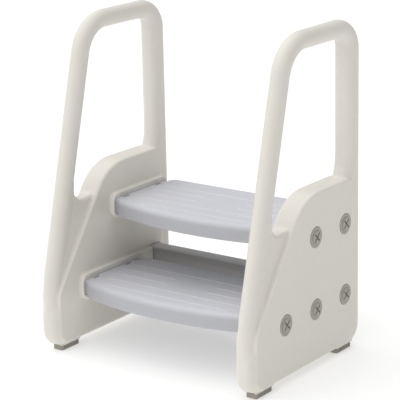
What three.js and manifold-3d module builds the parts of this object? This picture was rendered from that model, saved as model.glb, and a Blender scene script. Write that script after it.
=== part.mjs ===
// A child's two-step stool: two moulded side panels whose front rails rise and bend over into
// handrail hoops, two ribbed treads and a rear crossbar between them, ten broad-headed screws
// with square nuts caught in the treads and the crossbar, and four rubber feet.
// Millimetres. X runs across the stool, Y towards its back, Z up from the floor.

import * as THREE from 'three';
import { mergeVertices } from 'three/addons/utils/BufferGeometryUtils.js';
import Module from 'manifold-3d';

const library = await Module();
library.setup();

// ---------- driving dimensions ----------

const fitGap = 0.3; // between pieces that touch
const chordAngle = THREE.MathUtils.degToRad(18); // one facet of a rounded corner

// Side panels, drawn in (y, z) about their own middle plane
const panelOffset = 210; // middle plane of each panel from the middle of the stool
const panelThickness = 42; // over the raised faces
const frameThickness = 39; // over the leg, the bottom edge and the rear post
const panelBottom = 9.5; // the panels stand clear of the floor on their feet
const panelFront = -172.25;
const panelRear = 172.25;
const panelEase = 11; // rounding of the rims of the thick lower part
const faceEase = 2; // rounding of the rims of the raised faces
const faceInset = { front: 11, rear: 30, bottom: 7 };
const faceCorner = 18;
const frontHeelRadius = 31;
const rearHeelRadius = 35;
const blockTop = 317; // top of the thick lower part
const blockRear = panelRear - 4; // the rear post's rounding stands past it
const blockShoulder = [-13.5, blockTop, 94]; // where its top rolls over into the sloping front edge
const blockKnee = [panelFront, 97, 80]; // where that edge meets the front rail

// Front rail and hoop
const railRadius = 16;
const railFrontY = -156.25;
const kneeHeight = 126.5; // below it the rail is upright, above it the rail leans back
const kneeRadius = 160;
const lean = 0.256; // backwards per unit of height
const hoopHeight = 576; // centreline of the top bar
const hoopFrontRadius = 68;

// Rear post
const postWidth = frameThickness;
const postDepth = 36.5;
const postCorner = 16;
const postY = panelRear - postDepth / 2;
const postBendRadius = 36;
const postBendOverlap = 6; // the bend's run along the top bar
const shoulderLength = 34; // over it the top bar grows to the post's section

// Web that closes the gap between rail and block below the hoop
const webThickness = 26;
const webTop = [-104.25, 263, 24];
const webRear = [-33.5, 271];

// Screws, in (y, z)
const screwPitch = 94.5;
const rearScrewY = 115.2;
const lowerScrewZ = 110.2;
const upperScrewZ = 239;
const screwBelowTop = 13; // a tread's top above its screws
const shankRadius = 4;
const shankReach = 60; // from the panel's outer face
const headRadius = 18.4;
const headProud = 3;
const flangeProud = 1.1; // round the raised middle of the head
const bossRadius = 11.8;
const headSink = 1.5;
const driveLength = 20;
const driveWidth = 2.8;
const driveDepth = 1.8;
const nutSize = 13;
const nutSlotLength = 18;
const nutThickness = 4;
const nutX = 176.6; // plane of the nuts from the middle of the stool

// Treads, drawn about their front screws, with z = 0 on the walking face
const treadThickness = 30.7;
const treadEase = 10; // rounding of the upper rim
const treadNose = -58; // front edge at mid-width
const treadBow = 571; // radius of the front edge
const treadRear = 145;
const treadFrontCorner = 12;
const treadRearCorner = 18;
const tongueFront = -26; // the ends that sit in the panels' pockets
const tongueRear = 122;
const tongueEnd = 198.7;
const collarProud = 8; // the collars stand this far out of the panels' inner faces
const treadShoulder = panelOffset - panelThickness / 2 - collarProud - fitGap;
const treadSkin = 3;
const treadCellsEnd = 165; // beyond it the ends are solid round the nuts
const ribThickness = 2.4;
const ribColumns = 6;
const ribRows = 4;

// Pockets and their raised collars on the panels' inner faces
const pocketDepth = 10;
const collarWall = 7;
const collarRise = 10.5; // collar above the tread's top
const collarRadius = 15;

// Rear crossbar
const barDepth = 30;
const barTop = 134;
const barHeight = 44;
const barCorner = 7;
const barStep = 1.6; // the lower two thirds of the front face stand back by this much
const barWall = 3;

// Feet
const footWidth = 22;
const footLength = 48;
const footCentres = { front: -124.8, rear: 128 };
const footStemRadius = 6;
const footStemHeight = 14;

// ---------- finishes ----------

const finish = (color, roughness, metalness = 0) =>
  new THREE.MeshStandardMaterial({ color, roughness, metalness });
const panelPlastic = 0xdedad4;
const treadPlastic = 0xc6c7cd;
const barPlastic = 0x8e8c8b;
const screwPlastic = 0x9a988c;
const footRubber = 0x8d8882;
const zincSteel = 0xb4b6b8;

// ---------- helpers ----------

// Turns a chain of [u, v, radius] corners into points, each rounded corner into short chords.
function roundCorners(corners, closed = true) {
  const points = [];
  corners.forEach(([u, v, radius = 0], i) => {
    const corner = new THREE.Vector2(u, v);
    const isEnd = !closed && (i === 0 || i === corners.length - 1);
    if (isEnd || radius === 0) {
      points.push(corner);
      return;
    }
    const [previous, next] = [corners.at(i - 1), corners[(i + 1) % corners.length]];
    const back = new THREE.Vector2(previous[0], previous[1]).sub(corner).normalize();
    const ahead = new THREE.Vector2(next[0], next[1]).sub(corner).normalize();
    const halfAngle = back.angleTo(ahead) / 2;
    const bisector = back.clone().add(ahead).normalize();
    const centre = corner.clone().addScaledVector(bisector, radius / Math.sin(halfAngle));
    const start = corner.clone().addScaledVector(back, radius / Math.tan(halfAngle));
    const turn = (Math.PI - 2 * halfAngle) * Math.sign(ahead.cross(back));
    const chords = Math.max(2, Math.ceil(Math.abs(turn) / chordAngle));
    for (let k = 0; k <= chords; k++) {
      points.push(start.clone().rotateAround(centre, (turn * k) / chords));
    }
  });
  return points;
}

function roundedRectangle(left, right, bottom, top, radius) {
  return roundCorners([
    [left, bottom, radius],
    [right, bottom, radius],
    [right, top, radius],
    [left, top, radius],
  ]);
}

// A three.js geometry as a solid that can be joined and cut.
function solid(geometry) {
  const bare = geometry.index ? geometry.toNonIndexed() : geometry;
  bare.deleteAttribute('normal');
  bare.deleteAttribute('uv');
  const merged = mergeVertices(bare, 1e-4);
  return new library.Manifold(new library.Mesh({
    numProp: 3,
    vertProperties: new Float32Array(merged.attributes.position.array),
    triVerts: new Uint32Array(merged.index.array),
  }));
}

// A solid back as a three.js geometry.
function geometryOf(body) {
  const mesh = body.getMesh();
  const geometry = new THREE.BufferGeometry();
  geometry.setAttribute('position', new THREE.BufferAttribute(mesh.vertProperties, 3));
  geometry.setIndex(new THREE.BufferAttribute(mesh.triVerts, 1));
  geometry.computeVertexNormals();
  return geometry;
}

// The same geometry seen in a mirror across x = 0, with its faces turned outwards again.
function mirrored(geometry) {
  const copy = geometry.clone().scale(-1, 1, 1);
  const corners = copy.index.array;
  for (let i = 0; i < corners.length; i += 3) {
    [corners[i], corners[i + 1]] = [corners[i + 1], corners[i]];
  }
  copy.computeVertexNormals();
  return copy;
}

const acrossX = new THREE.Matrix4().makeBasis(
  new THREE.Vector3(0, 1, 0),
  new THREE.Vector3(0, 0, 1),
  new THREE.Vector3(1, 0, 0),
);

function extruded(outline, low, high, ease) {
  return new THREE.ExtrudeGeometry(new THREE.Shape(outline), {
    depth: high - low - 2 * ease,
    bevelEnabled: ease > 0,
    bevelThickness: ease,
    bevelSize: ease,
    bevelOffset: -ease,
    bevelSegments: 2,
  }).translate(0, 0, low + ease);
}

// A (y, z) outline carried across from x = low to x = high, its two rims rounded by ease.
const slab = (outline, low, high, ease = 0) =>
  solid(extruded(outline, low, high, ease).applyMatrix4(acrossX));

// An (x, y) outline carried up from z = low to z = high, its two rims rounded by ease.
const plate = (outline, low, high, ease = 0) => solid(extruded(outline, low, high, ease));

function box(x0, x1, y0, y1, z0, z1) {
  const geometry = new THREE.BoxGeometry(x1 - x0, y1 - y0, z1 - z0);
  return solid(geometry.translate((x0 + x1) / 2, (y0 + y1) / 2, (z0 + z1) / 2));
}

// A round bar or hole along X, from x = low to x = high.
function rodX(radius, low, high, y, z, sides = 12) {
  const geometry = new THREE.CylinderGeometry(radius, radius, high - low, sides);
  return solid(geometry.rotateZ(Math.PI / 2).translate((low + high) / 2, y, z));
}

// A centreline given by its own stations, so that a sweep has sections only where it bends.
class Centreline extends THREE.Curve {
  constructor(corners) {
    super();
    this.stations = roundCorners(corners, false).map(({ x, y }) => new THREE.Vector3(0, x, y));
  }

  station(index) {
    return this.stations[THREE.MathUtils.clamp(index, 0, this.stations.length - 1)].clone();
  }

  getPointAt(t) {
    return this.station(Math.round(t * (this.stations.length - 1)));
  }

  getTangentAt(t) {
    const index = Math.round(t * (this.stations.length - 1));
    return this.station(index + 1).sub(this.station(index - 1)).normalize();
  }
}

function sweep(section, corners) {
  const extrudePath = new Centreline(corners);
  const steps = extrudePath.stations.length - 1;
  return solid(new THREE.ExtrudeGeometry(new THREE.Shape(section), { steps, extrudePath }));
}

// ---------- side panels ----------

const railYAt = (height) => railFrontY + (height - kneeHeight) * lean;

function frontRailAndTopBar() {
  const section = new THREE.EllipseCurve(0, 0, railRadius, railRadius).getPoints(16).slice(1);
  return sweep(section, [
    [railFrontY, panelBottom + 2],
    [railFrontY, kneeHeight, kneeRadius],
    [railYAt(hoopHeight), hoopHeight, hoopFrontRadius],
    [postY - postBendRadius, hoopHeight],
  ]);
}

function rearPost() {
  const half = [postWidth / 2, postDepth / 2];
  const section = roundedRectangle(-half[0], half[0], -half[1], half[1], postCorner);
  const bendHeight = hoopHeight + railRadius - postDepth / 2;
  return sweep(section, [
    [postY, panelBottom + 2],
    [postY, bendHeight, postBendRadius],
    [postY - postBendRadius - postBendOverlap, bendHeight],
  ]);
}

// The post's broad section narrows to the round rail along the top bar, its top staying level.
function topBarShoulder() {
  const wide = postDepth / 2 - 0.4;
  const narrow = railRadius - 0.2;
  const drop = (wide - narrow) / shoulderLength;
  const cone = new THREE.CylinderGeometry(wide, narrow, shoulderLength, 16);
  cone.applyMatrix4(new THREE.Matrix4().makeShear(0, 0, 0, -drop, 0, 0));
  const middleY = postY - postBendRadius - postBendOverlap + 1 - shoulderLength / 2;
  return solid(cone.translate(0, middleY, hoopHeight - (wide - narrow) / 2 - 0.2));
}

function thickBlock() {
  const outline = roundCorners([
    [panelFront, panelBottom, frontHeelRadius],
    [blockRear, panelBottom, rearHeelRadius],
    [blockRear, blockTop],
    blockShoulder,
    blockKnee,
  ]);
  return slab(outline, -frameThickness / 2, frameThickness / 2, panelEase);
}

// The faces that stand proud of the panel's leg, bottom edge and rear post.
function raisedFaces() {
  const front = panelFront + faceInset.front;
  const rear = panelRear - faceInset.rear;
  const bottom = panelBottom + faceInset.bottom;
  const slope = (blockTop - blockKnee[1]) / (blockShoulder[0] - panelFront);
  const outline = roundCorners([
    [front, bottom, faceCorner],
    [rear, bottom, faceCorner],
    [rear, blockTop, faceCorner],
    blockShoulder,
    [front, blockKnee[1] + faceInset.front * slope, blockKnee[2] / 2],
  ]);
  return slab(outline, -panelThickness / 2, panelThickness / 2, faceEase);
}

function webBelowHoop() {
  const outline = roundCorners([
    [railFrontY, blockKnee[1] - 20],
    [0, blockKnee[1] - 20],
    [0, webRear[1] + 5],
    webRear,
    webTop,
    [railYAt(300) + 14, 300],
    [railYAt(300), 300],
  ]);
  return slab(outline, -webThickness / 2, webThickness / 2);
}

// The panel's outside limits, which round off its two lower corners.
function heelLimits() {
  const outline = roundCorners([
    [panelFront - 0.2, panelBottom, frontHeelRadius],
    [panelRear + 0.2, panelBottom, rearHeelRadius],
    [panelRear + 0.2, hoopHeight + 60],
    [panelFront - 0.2, hoopHeight + 60],
  ]);
  return slab(outline, -panelThickness, panelThickness);
}

// Positions of the two treads, each with a screw at its origin and one a pitch further back.
const treadPlaces = {
  lower: { y: rearScrewY - 2 * screwPitch, z: lowerScrewZ + screwBelowTop },
  upper: { y: rearScrewY - screwPitch, z: upperScrewZ + screwBelowTop },
};

const screwPlaces = {
  lower_front: [rearScrewY - 2 * screwPitch, lowerScrewZ],
  lower_middle: [rearScrewY - screwPitch, lowerScrewZ],
  lower_rear: [rearScrewY, lowerScrewZ],
  upper_front: [rearScrewY - screwPitch, upperScrewZ],
  upper_rear: [rearScrewY, upperScrewZ],
};

function collar({ y, z }, rear) {
  const outline = roundedRectangle(
    y + tongueFront - collarWall,
    rear,
    z - treadThickness - collarWall,
    z + collarRise,
    collarRadius,
  );
  const face = -panelThickness / 2;
  return slab(outline, face - collarProud, face + 6, 2.5);
}

function pocket(front, rear, bottom, top, radius) {
  const outline = roundedRectangle(
    front - fitGap,
    rear + fitGap,
    bottom - fitGap,
    top + fitGap,
    radius,
  );
  const face = -panelThickness / 2;
  return slab(outline, face - collarProud - 5, face + pocketDepth);
}

// The right-hand panel about its own middle plane, its inner face towards -X.
function sidePanel() {
  const [inner, outer] = [-panelThickness / 2, panelThickness / 2];
  let body = thickBlock()
    .add(raisedFaces())
    .add(webBelowHoop())
    .add(rearPost())
    .add(frontRailAndTopBar())
    .add(topBarShoulder())
    .intersect(heelLimits());

  const { lower, upper } = treadPlaces;
  body = body
    .add(collar(lower, rearScrewY))
    .add(collar(upper, upper.y + tongueRear + collarWall));
  for (const { y, z } of [lower, upper]) {
    body = body.subtract(pocket(y + tongueFront, y + tongueRear, z - treadThickness, z, 6));
  }
  // The lower collar ends square against the front of the crossbar.
  const barFront = rearScrewY - barDepth / 2;
  const barRear = barFront + barDepth;
  body = body
    .subtract(pocket(barFront, barRear, barTop - barHeight, barTop, 1.5))
    .subtract(box(inner - 2 * collarProud, inner, barFront - fitGap, barRear, 0, barTop + 5));

  for (const [y, z] of Object.values(screwPlaces)) {
    body = body
      .subtract(rodX(shankRadius + fitGap, inner - 10, outer + 10, y, z))
      .subtract(rodX(headRadius + fitGap + 0.4, outer - headSink, outer + 10, y, z, 24));
  }
  for (const y of Object.values(footCentres)) {
    const seat = [footWidth / 2 + 1, footLength / 2 + 1];
    body = body
      .add(box(-seat[0], seat[0], y - seat[1], y + seat[1], panelBottom, panelBottom + 12))
      .subtract(footStem(footStemRadius + fitGap, footStemHeight + fitGap).translate([0, y, 0]));
  }
  return geometryOf(body);
}

// ---------- treads ----------

const bowAt = (x) => treadNose + treadBow - Math.sqrt(treadBow ** 2 - x ** 2);

// The plan of the tread between the panels' collars, inset all round.
function treadPlan(halfWidth, inset, frontCorner, rearCorner) {
  const side = halfWidth - inset;
  const frontSteps = 14;
  const chain = [];
  for (let i = 0; i <= frontSteps; i++) {
    const x = side * ((2 * i) / frontSteps - 1);
    const isCorner = i === 0 || i === frontSteps;
    chain.push([x, bowAt(x) + inset, isCorner ? frontCorner : 0]);
  }
  chain.push([side, treadRear - inset, rearCorner], [-side, treadRear - inset, rearCorner]);
  return roundCorners(chain);
}

// The hollow underside: open cells between a grid of ribs.
function treadCells() {
  const reach = panelOffset;
  const cellX = (2 * treadCellsEnd) / ribColumns;
  const cellY = (treadRear - treadNose) / ribRows;
  const ease = treadEase - treadSkin;
  const plan = treadPlan(treadCellsEnd, treadSkin, ease + 1, ease + 1);
  let cells = plate(plan, -treadThickness - 2 * ease, -treadSkin, ease);
  for (let i = 1; i < ribColumns; i++) {
    const x = (i - ribColumns / 2) * cellX;
    cells = cells.subtract(box(
      x - ribThickness / 2, x + ribThickness / 2, -reach, reach, -2 * treadThickness, 0,
    ));
  }
  for (let j = 1; j < ribRows; j++) {
    const y = treadNose + j * cellY;
    cells = cells.subtract(box(
      -reach, reach, y - ribThickness / 2, y + ribThickness / 2, -2 * treadThickness, 0,
    ));
  }
  return cells;
}

// A slot for one nut, open on the walking face, with the screw's hole through it.
function nutSlot(side, y) {
  const halfWidth = nutThickness / 2 + fitGap;
  const halfLength = nutSlotLength / 2;
  const x = side * nutX;
  const slot = box(
    x - halfWidth, x + halfWidth, y - halfLength, y + halfLength,
    -screwBelowTop - nutSize / 2 - fitGap, 5,
  );
  const ends = [side * (tongueEnd + 5), side * (nutX - 14)].sort((a, b) => a - b);
  return slot.add(rodX(shankRadius + fitGap, ends[0], ends[1], y, -screwBelowTop));
}

function tread() {
  const tongueOutline = roundedRectangle(tongueFront, tongueRear, -treadThickness, 0, 7);
  const plan = treadPlan(treadShoulder, 0, treadFrontCorner, treadRearCorner);
  let body = plate(plan, -treadThickness - treadEase, 0, treadEase)
    .trimByPlane([0, 0, 1], -treadThickness)
    .add(slab(tongueOutline, -tongueEnd, tongueEnd, 1))
    .subtract(treadCells());
  for (const side of [-1, 1]) {
    for (const y of [0, screwPitch]) {
      body = body.subtract(nutSlot(side, y));
    }
  }
  return geometryOf(body);
}

// ---------- rear crossbar ----------

// Drawn about its screws' axis, z = 0 on that axis: a channel open below, with cross ribs.
function crossbar() {
  const top = barTop - lowerScrewZ;
  const bottom = top - barHeight;
  const half = barDepth / 2;
  const outline = roundCorners([
    [-half + barStep, bottom, 2],
    [half, bottom, 2],
    [half, top, barCorner],
    [-half, top, barCorner],
    [-half, top - barHeight / 3],
    [-half + barStep, top - barHeight / 3 - barStep],
  ]);
  const inside = roundCorners([
    [-half + barStep + barWall, bottom - 5],
    [half - barWall, bottom - 5],
    [half - barWall, top - barWall, barCorner - barWall],
    [-half + barStep + barWall, top - barWall, barCorner - barWall],
  ]);
  let body = slab(outline, -tongueEnd, tongueEnd, 1);
  const bay = (2 * treadCellsEnd) / ribColumns;
  for (let i = 0; i < ribColumns; i++) {
    const start = -treadCellsEnd + i * bay + ribThickness / 2;
    body = body.subtract(slab(inside, start, start + bay - ribThickness));
  }
  for (const side of [-1, 1]) {
    const x = side * nutX;
    const [halfX, halfY] = [nutThickness / 2 + fitGap, nutSize / 2 + fitGap];
    const ends = [side * (tongueEnd + 5), side * (nutX - 8)].sort((a, b) => a - b);
    body = body
      .subtract(box(x - halfX, x + halfX, -halfY, halfY, bottom - 5, nutSize / 2 + fitGap))
      .subtract(rodX(shankRadius + fitGap, ends[0], ends[1], 0, 0));
  }
  return geometryOf(body);
}

// ---------- screws and nuts ----------

// A screw along X, x = 0 on the panel's outer face, its head towards +X.
function screw() {
  const rim = headRadius;
  const profile = [
    [0, -shankReach],
    [shankRadius - 1, -shankReach],
    [shankRadius, -shankReach + 2],
    [shankRadius, -headSink + fitGap],
    [rim, -headSink + fitGap],
    [rim, flangeProud - 0.6],
    [rim - 0.8, flangeProud],
    [bossRadius, flangeProud],
    [bossRadius, headProud - 0.8],
    [bossRadius - 1, headProud],
    [0, headProud],
  ].map(([r, along]) => new THREE.Vector2(r, along));
  let body = solid(new THREE.LatheGeometry(profile, 20).rotateZ(-Math.PI / 2));
  for (const angle of [Math.PI / 4, -Math.PI / 4]) {
    const arm = new THREE.BoxGeometry(2 * driveDepth, driveLength, driveWidth);
    body = body.subtract(solid(arm.rotateX(angle).translate(headProud, 0, 0)));
  }
  return geometryOf(body);
}

// A square nut about its own centre, bored along X.
function squareNut() {
  const [half, flat] = [nutThickness / 2, nutSize / 2];
  const blank = box(-half, half, -flat, flat, -flat, flat);
  return geometryOf(blank.subtract(rodX(shankRadius + fitGap, -half - 2, half + 2, 0, 0)));
}

// ---------- feet ----------

function footStem(radius, height) {
  const geometry = new THREE.CylinderGeometry(radius, radius, height + 6, 12);
  return solid(geometry.rotateX(Math.PI / 2).translate(0, 0, panelBottom + (height - 6) / 2));
}

// A ribbed rubber pad with the stem that plugs into the panel, z = 0 on the floor.
function foot() {
  const outline = roundedRectangle(
    -footWidth / 2,
    footWidth / 2,
    -footLength / 2,
    footLength / 2,
    4,
  );
  let body = plate(outline, 0, panelBottom - fitGap, 1.2);
  const grooves = 5;
  for (let i = 0; i < grooves; i++) {
    const y = ((i + 0.5) / grooves - 0.5) * (footLength - 8);
    for (const side of [-1, 1]) {
      const x = (side * footWidth) / 2;
      body = body.subtract(box(x - 0.8, x + 0.8, y - 1, y + 1, 2.4, panelBottom + 1));
    }
  }
  return geometryOf(body.add(footStem(footStemRadius, footStemHeight)));
}

// ---------- assembly ----------

const stool = new THREE.Group();

function place(name, geometry, material, [x, y, z], turn = 0) {
  const mesh = new THREE.Mesh(geometry, material);
  mesh.name = name;
  mesh.position.set(x, y, z);
  mesh.rotation.z = turn;
  stool.add(mesh);
}

const rightPanel = sidePanel();
place('right_side_panel', rightPanel, finish(panelPlastic, 0.5), [panelOffset, 0, 0]);
place('left_side_panel', mirrored(rightPanel), finish(panelPlastic, 0.5), [-panelOffset, 0, 0]);

for (const [level, { y, z }] of Object.entries(treadPlaces)) {
  place(`${level}_tread`, tread(), finish(treadPlastic, 0.5), [0, y, z]);
}
place('rear_crossbar', crossbar(), finish(barPlastic, 0.5), [0, rearScrewY, lowerScrewZ]);

for (const [sideName, side] of [['left', -1], ['right', 1]]) {
  const faceX = side * (panelOffset + panelThickness / 2);
  const turn = side > 0 ? 0 : Math.PI;
  for (const [spot, [y, z]] of Object.entries(screwPlaces)) {
    place(`${sideName}_${spot}_screw`, screw(), finish(screwPlastic, 0.5), [faceX, y, z], turn);
    place(`${sideName}_${spot}_nut`, squareNut(), finish(zincSteel, 0.35, 0.9), [side * nutX, y, z]);
  }
  for (const [end, y] of Object.entries(footCentres)) {
    const name = `${sideName}_${end}_foot`;
    place(name, foot(), finish(footRubber, 0.85), [side * panelOffset, y, 0]);
  }
}

export default stool;
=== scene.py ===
import math

import bpy
import numpy as np
from mathutils import Matrix, Vector


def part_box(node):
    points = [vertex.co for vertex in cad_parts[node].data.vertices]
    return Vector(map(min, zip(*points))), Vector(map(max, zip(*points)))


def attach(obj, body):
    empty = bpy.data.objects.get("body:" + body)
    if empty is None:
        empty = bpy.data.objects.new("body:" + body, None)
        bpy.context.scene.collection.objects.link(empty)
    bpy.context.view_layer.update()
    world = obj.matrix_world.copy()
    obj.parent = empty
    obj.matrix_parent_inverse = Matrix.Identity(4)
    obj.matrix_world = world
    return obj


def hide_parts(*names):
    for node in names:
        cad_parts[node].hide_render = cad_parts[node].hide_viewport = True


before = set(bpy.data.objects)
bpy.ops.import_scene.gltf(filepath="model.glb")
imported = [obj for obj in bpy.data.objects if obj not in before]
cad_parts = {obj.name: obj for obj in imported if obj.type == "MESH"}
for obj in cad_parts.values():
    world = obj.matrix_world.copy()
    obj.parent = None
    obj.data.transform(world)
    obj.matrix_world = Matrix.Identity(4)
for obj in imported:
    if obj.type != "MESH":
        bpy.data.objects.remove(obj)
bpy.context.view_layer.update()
print("frame:", len(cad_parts), "nodes")

metre = 0.001  # one millimetre


def nodeBox(node):
    # a node's lowest and highest corners, in millimetres
    low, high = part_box(node)
    return np.array(low) / metre, np.array(high) / metre


def nodeMiddle(node):
    low, high = nodeBox(node)
    return (low + high) / 2


# ---- camera ----

cameraLook = {
    "place": (1.7402, -2.3627, 1.1058),
    "tilt": 74.19,  # degrees up from looking straight down
    "heading": 36.30,
    "roll": -1.25,
    "lens": 156.78,
}

cameraData = bpy.data.cameras.new("camera")
cameraData.lens = cameraLook["lens"]
cameraData.sensor_width = 36
cameraData.clip_end = 200
camera = bpy.data.objects.new("camera", cameraData)
bpy.context.scene.collection.objects.link(camera)
camera.matrix_world = (
    Matrix.Translation(cameraLook["place"])
    @ Matrix.Rotation(math.radians(cameraLook["heading"]), 4, "Z")
    @ Matrix.Rotation(math.radians(cameraLook["tilt"]), 4, "X")
    @ Matrix.Rotation(math.radians(cameraLook["roll"]), 4, "Z")
)
bpy.context.scene.camera = camera
print("camera placed")

# ---- materials ----


def linear(shade):
    # a display shade 0 to 255 as light
    part = np.array(shade) / 255
    return tuple(np.where(part <= 0.04045, part / 12.92, ((part + 0.055) / 1.055) ** 2.4))


def wired(tree, kind, inputs=None, **settings):
    # one node with its settings, its inputs given as numbers or as other nodes' outputs
    node = tree.nodes.new("ShaderNode" + kind)
    for key, value in settings.items():
        setattr(node, key, value)
    for key, value in (inputs or {}).items():
        if isinstance(value, bpy.types.NodeSocket):
            tree.links.new(value, node.inputs[key])
        else:
            node.inputs[key].default_value = value
    return node


def moulded(name, look):
    # Moulded plastic or rubber. Colour drifts slowly over the piece, is darkened by painted shade
    # by the share that the shade attribute gives, a little paler on tight outer edges and darker
    # in creases by painted shade; gloss and relief come from a fine grain over a slow wave.
    material = bpy.data.materials.new(name)
    material.use_nodes = True
    tree = material.node_tree
    shader = tree.nodes["Principled BSDF"]
    place = tree.nodes.new("ShaderNodeTexCoord").outputs["Object"]

    drift = wired(tree, "TexNoise", {"Vector": place, "Scale": look["driftScale"], "Detail": 3.0})
    mottle = wired(tree, "TexNoise", {"Vector": place, "Scale": look["mottleScale"], "Detail": 5.0,
                                      "Roughness": 0.6})
    blend = wired(tree, "Math", {0: drift.outputs["Fac"], 1: mottle.outputs["Fac"]},
                  operation="ADD")
    amount = wired(tree, "MapRange", {"Value": blend.outputs[0], "From Min": 0.7, "From Max": 1.3})
    base = linear(look["colour"])
    dark = tuple(c * (1 - look["drift"]) for c in base)
    body = wired(tree, "Mix", {"Factor": amount.outputs[0], "A": (*dark, 1), "B": (*base, 1)},
                 data_type="RGBA")
    edge = wired(tree, "Attribute", attribute_name="edge")
    # a little paler on tight outer edges, by the edge attribute
    edgePaling = wired(tree, "MapRange", {"Value": edge.outputs["Fac"], "From Min": 0.35,
                                      "From Max": 1.0, "To Max": look["edgePale"]})
    # painted shade: the shade attribute darkens the colour towards a dark copy of it
    if "paintedShade" in look:
        side = wired(tree, "Attribute", attribute_name="paintedShade")
        shade = wired(tree, "Math", {0: side.outputs["Fac"], 1: look["paintedShade"]},
                      operation="MULTIPLY")
        body = wired(tree, "Mix", {"Factor": shade.outputs[0], "A": body.outputs["Result"],
                                   "B": (*(c * 0.12 for c in base), 1)}, data_type="RGBA")
    pale = tuple(min(1, c * 1.1 + 0.02) for c in base)
    edgePaled = wired(tree, "Mix", {"Factor": edgePaling.outputs[0], "A": body.outputs["Result"],
                               "B": (*pale, 1)}, data_type="RGBA")
    # painted shade in creases: where the surface turns inward the colour goes towards a darker copy
    creaseShade = wired(tree, "MapRange", {"Value": edge.outputs["Fac"], "From Min": -0.25,
                                       "From Max": -1.0, "To Max": look["crease"]})
    deep = tuple(c * 0.55 for c in base)
    final = wired(tree, "Mix", {"Factor": creaseShade.outputs[0], "A": edgePaled.outputs["Result"],
                                "B": (*deep, 1)}, data_type="RGBA")
    tree.links.new(final.outputs["Result"], shader.inputs["Base Color"])

    grain = wired(tree, "TexNoise", {"Vector": place, "Scale": look["grainScale"], "Detail": 4.0,
                                     "Roughness": 0.55})
    gloss = wired(tree, "MapRange", {"Value": grain.outputs["Fac"], "From Min": 0.3,
                                     "From Max": 0.7, "To Min": look["gloss"][0],
                                     "To Max": look["gloss"][1]})
    tree.links.new(gloss.outputs[0], shader.inputs["Roughness"])

    wave = wired(tree, "TexNoise", {"Vector": place, "Scale": look["waveScale"], "Detail": 1.0})
    slow = wired(tree, "Bump", {"Height": wave.outputs["Fac"], "Strength": 1.0,
                                "Distance": look["waveDepth"] * metre})
    fine = wired(tree, "Bump", {"Height": grain.outputs["Fac"], "Strength": 1.0,
                                "Distance": look["grainDepth"] * metre,
                                "Normal": slow.outputs["Normal"]})
    tree.links.new(fine.outputs["Normal"], shader.inputs["Normal"])
    shader.inputs["Metallic"].default_value = look.get("metal", 0.0)
    shader.inputs["IOR"].default_value = 1.5
    return material


panelFinish = moulded("panelPlastic", {
    "colour": (230, 226, 218), "drift": 0.035, "driftScale": 4.0, "mottleScale": 60.0,
    "edgePale": 0.8, "crease": 0.08, "grainScale": 900.0, "grainDepth": 0.05,
    "waveScale": 28.0, "waveDepth": 0.35, "gloss": (0.42, 0.56),
})
treadFinish = moulded("treadPlastic", {
    "colour": (205, 206, 212), "drift": 0.05, "driftScale": 5.0, "mottleScale": 80.0,
    "edgePale": 0.8, "crease": 0.35, "paintedShade": 0.22, "grainScale": 700.0, "grainDepth": 0.09,
    "waveScale": 20.0, "waveDepth": 0.15, "gloss": (0.45, 0.6),
})
barFinish = moulded("crossbarPlastic", {
    "colour": (224, 222, 220), "drift": 0.07, "driftScale": 6.0, "mottleScale": 90.0,
    "edgePale": 0.4, "crease": 0.35, "paintedShade": 0.5, "grainScale": 800.0, "grainDepth": 0.07,
    "waveScale": 24.0, "waveDepth": 0.15, "gloss": (0.42, 0.58),
})
screwFinish = moulded("screwPlastic", {
    "colour": (170, 167, 156), "drift": 0.08, "driftScale": 30.0, "mottleScale": 300.0,
    "edgePale": 0.4, "crease": 0.8, "grainScale": 1200.0, "grainDepth": 0.05,
    "waveScale": 60.0, "waveDepth": 0.05, "gloss": (0.34, 0.5),
})
nutFinish = moulded("nutZinc", {
    "colour": (188, 190, 192), "drift": 0.15, "driftScale": 120.0, "mottleScale": 700.0,
    "edgePale": 0.0, "crease": 0.0, "grainScale": 2500.0, "grainDepth": 0.03,
    "waveScale": 200.0, "waveDepth": 0.02, "gloss": (0.25, 0.45), "metal": 1.0,
})
footFinish = moulded("footRubber", {
    "colour": (165, 160, 152), "drift": 0.12, "driftScale": 25.0, "mottleScale": 400.0,
    "edgePale": 0.35, "crease": 0.6, "grainScale": 1500.0, "grainDepth": 0.12,
    "waveScale": 90.0, "waveDepth": 0.1, "gloss": (0.68, 0.88),
})
print("finishes mixed")

# ---- plane outlines ----


def roundedChain(corners, closed=True):
    # Corners (u, v, radius) as straight runs and arcs that meet without a kink. Each entry is
    # (start, direction, length) or (centre, radius, start angle, turn).
    points = [np.array(corner[:2], float) for corner in corners]
    radii = [corner[2] if len(corner) > 2 else 0.0 for corner in corners]
    joints = []
    for i, (point, radius) in enumerate(zip(points, radii)):
        if radius == 0 or (not closed and i in (0, len(points) - 1)):
            joints.append((point, point, None))
            continue
        back = points[i - 1] - point
        ahead = points[(i + 1) % len(points)] - point
        back, ahead = back / np.linalg.norm(back), ahead / np.linalg.norm(ahead)
        half = math.acos(np.clip(back @ ahead, -1, 1)) / 2
        reach = radius / math.tan(half)
        middle = (back + ahead) / np.linalg.norm(back + ahead)
        centre = point + middle * radius / math.sin(half)
        start, end = point + back * reach, point + ahead * reach
        sign = 1.0 if ahead[0] * back[1] - ahead[1] * back[0] > 0 else -1.0
        first = math.atan2(*(start - centre)[::-1])
        joints.append((start, end, (centre, radius, first, sign * (math.pi - 2 * half))))
    chain = []
    for i, (start, end, arc) in enumerate(joints):
        if arc:
            chain.append(arc)
        if closed or i < len(joints) - 1:
            run = joints[(i + 1) % len(joints)][0] - end
            length = np.linalg.norm(run)
            if length > 1e-9:
                chain.append((end, run / length, length))
    return chain


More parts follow.
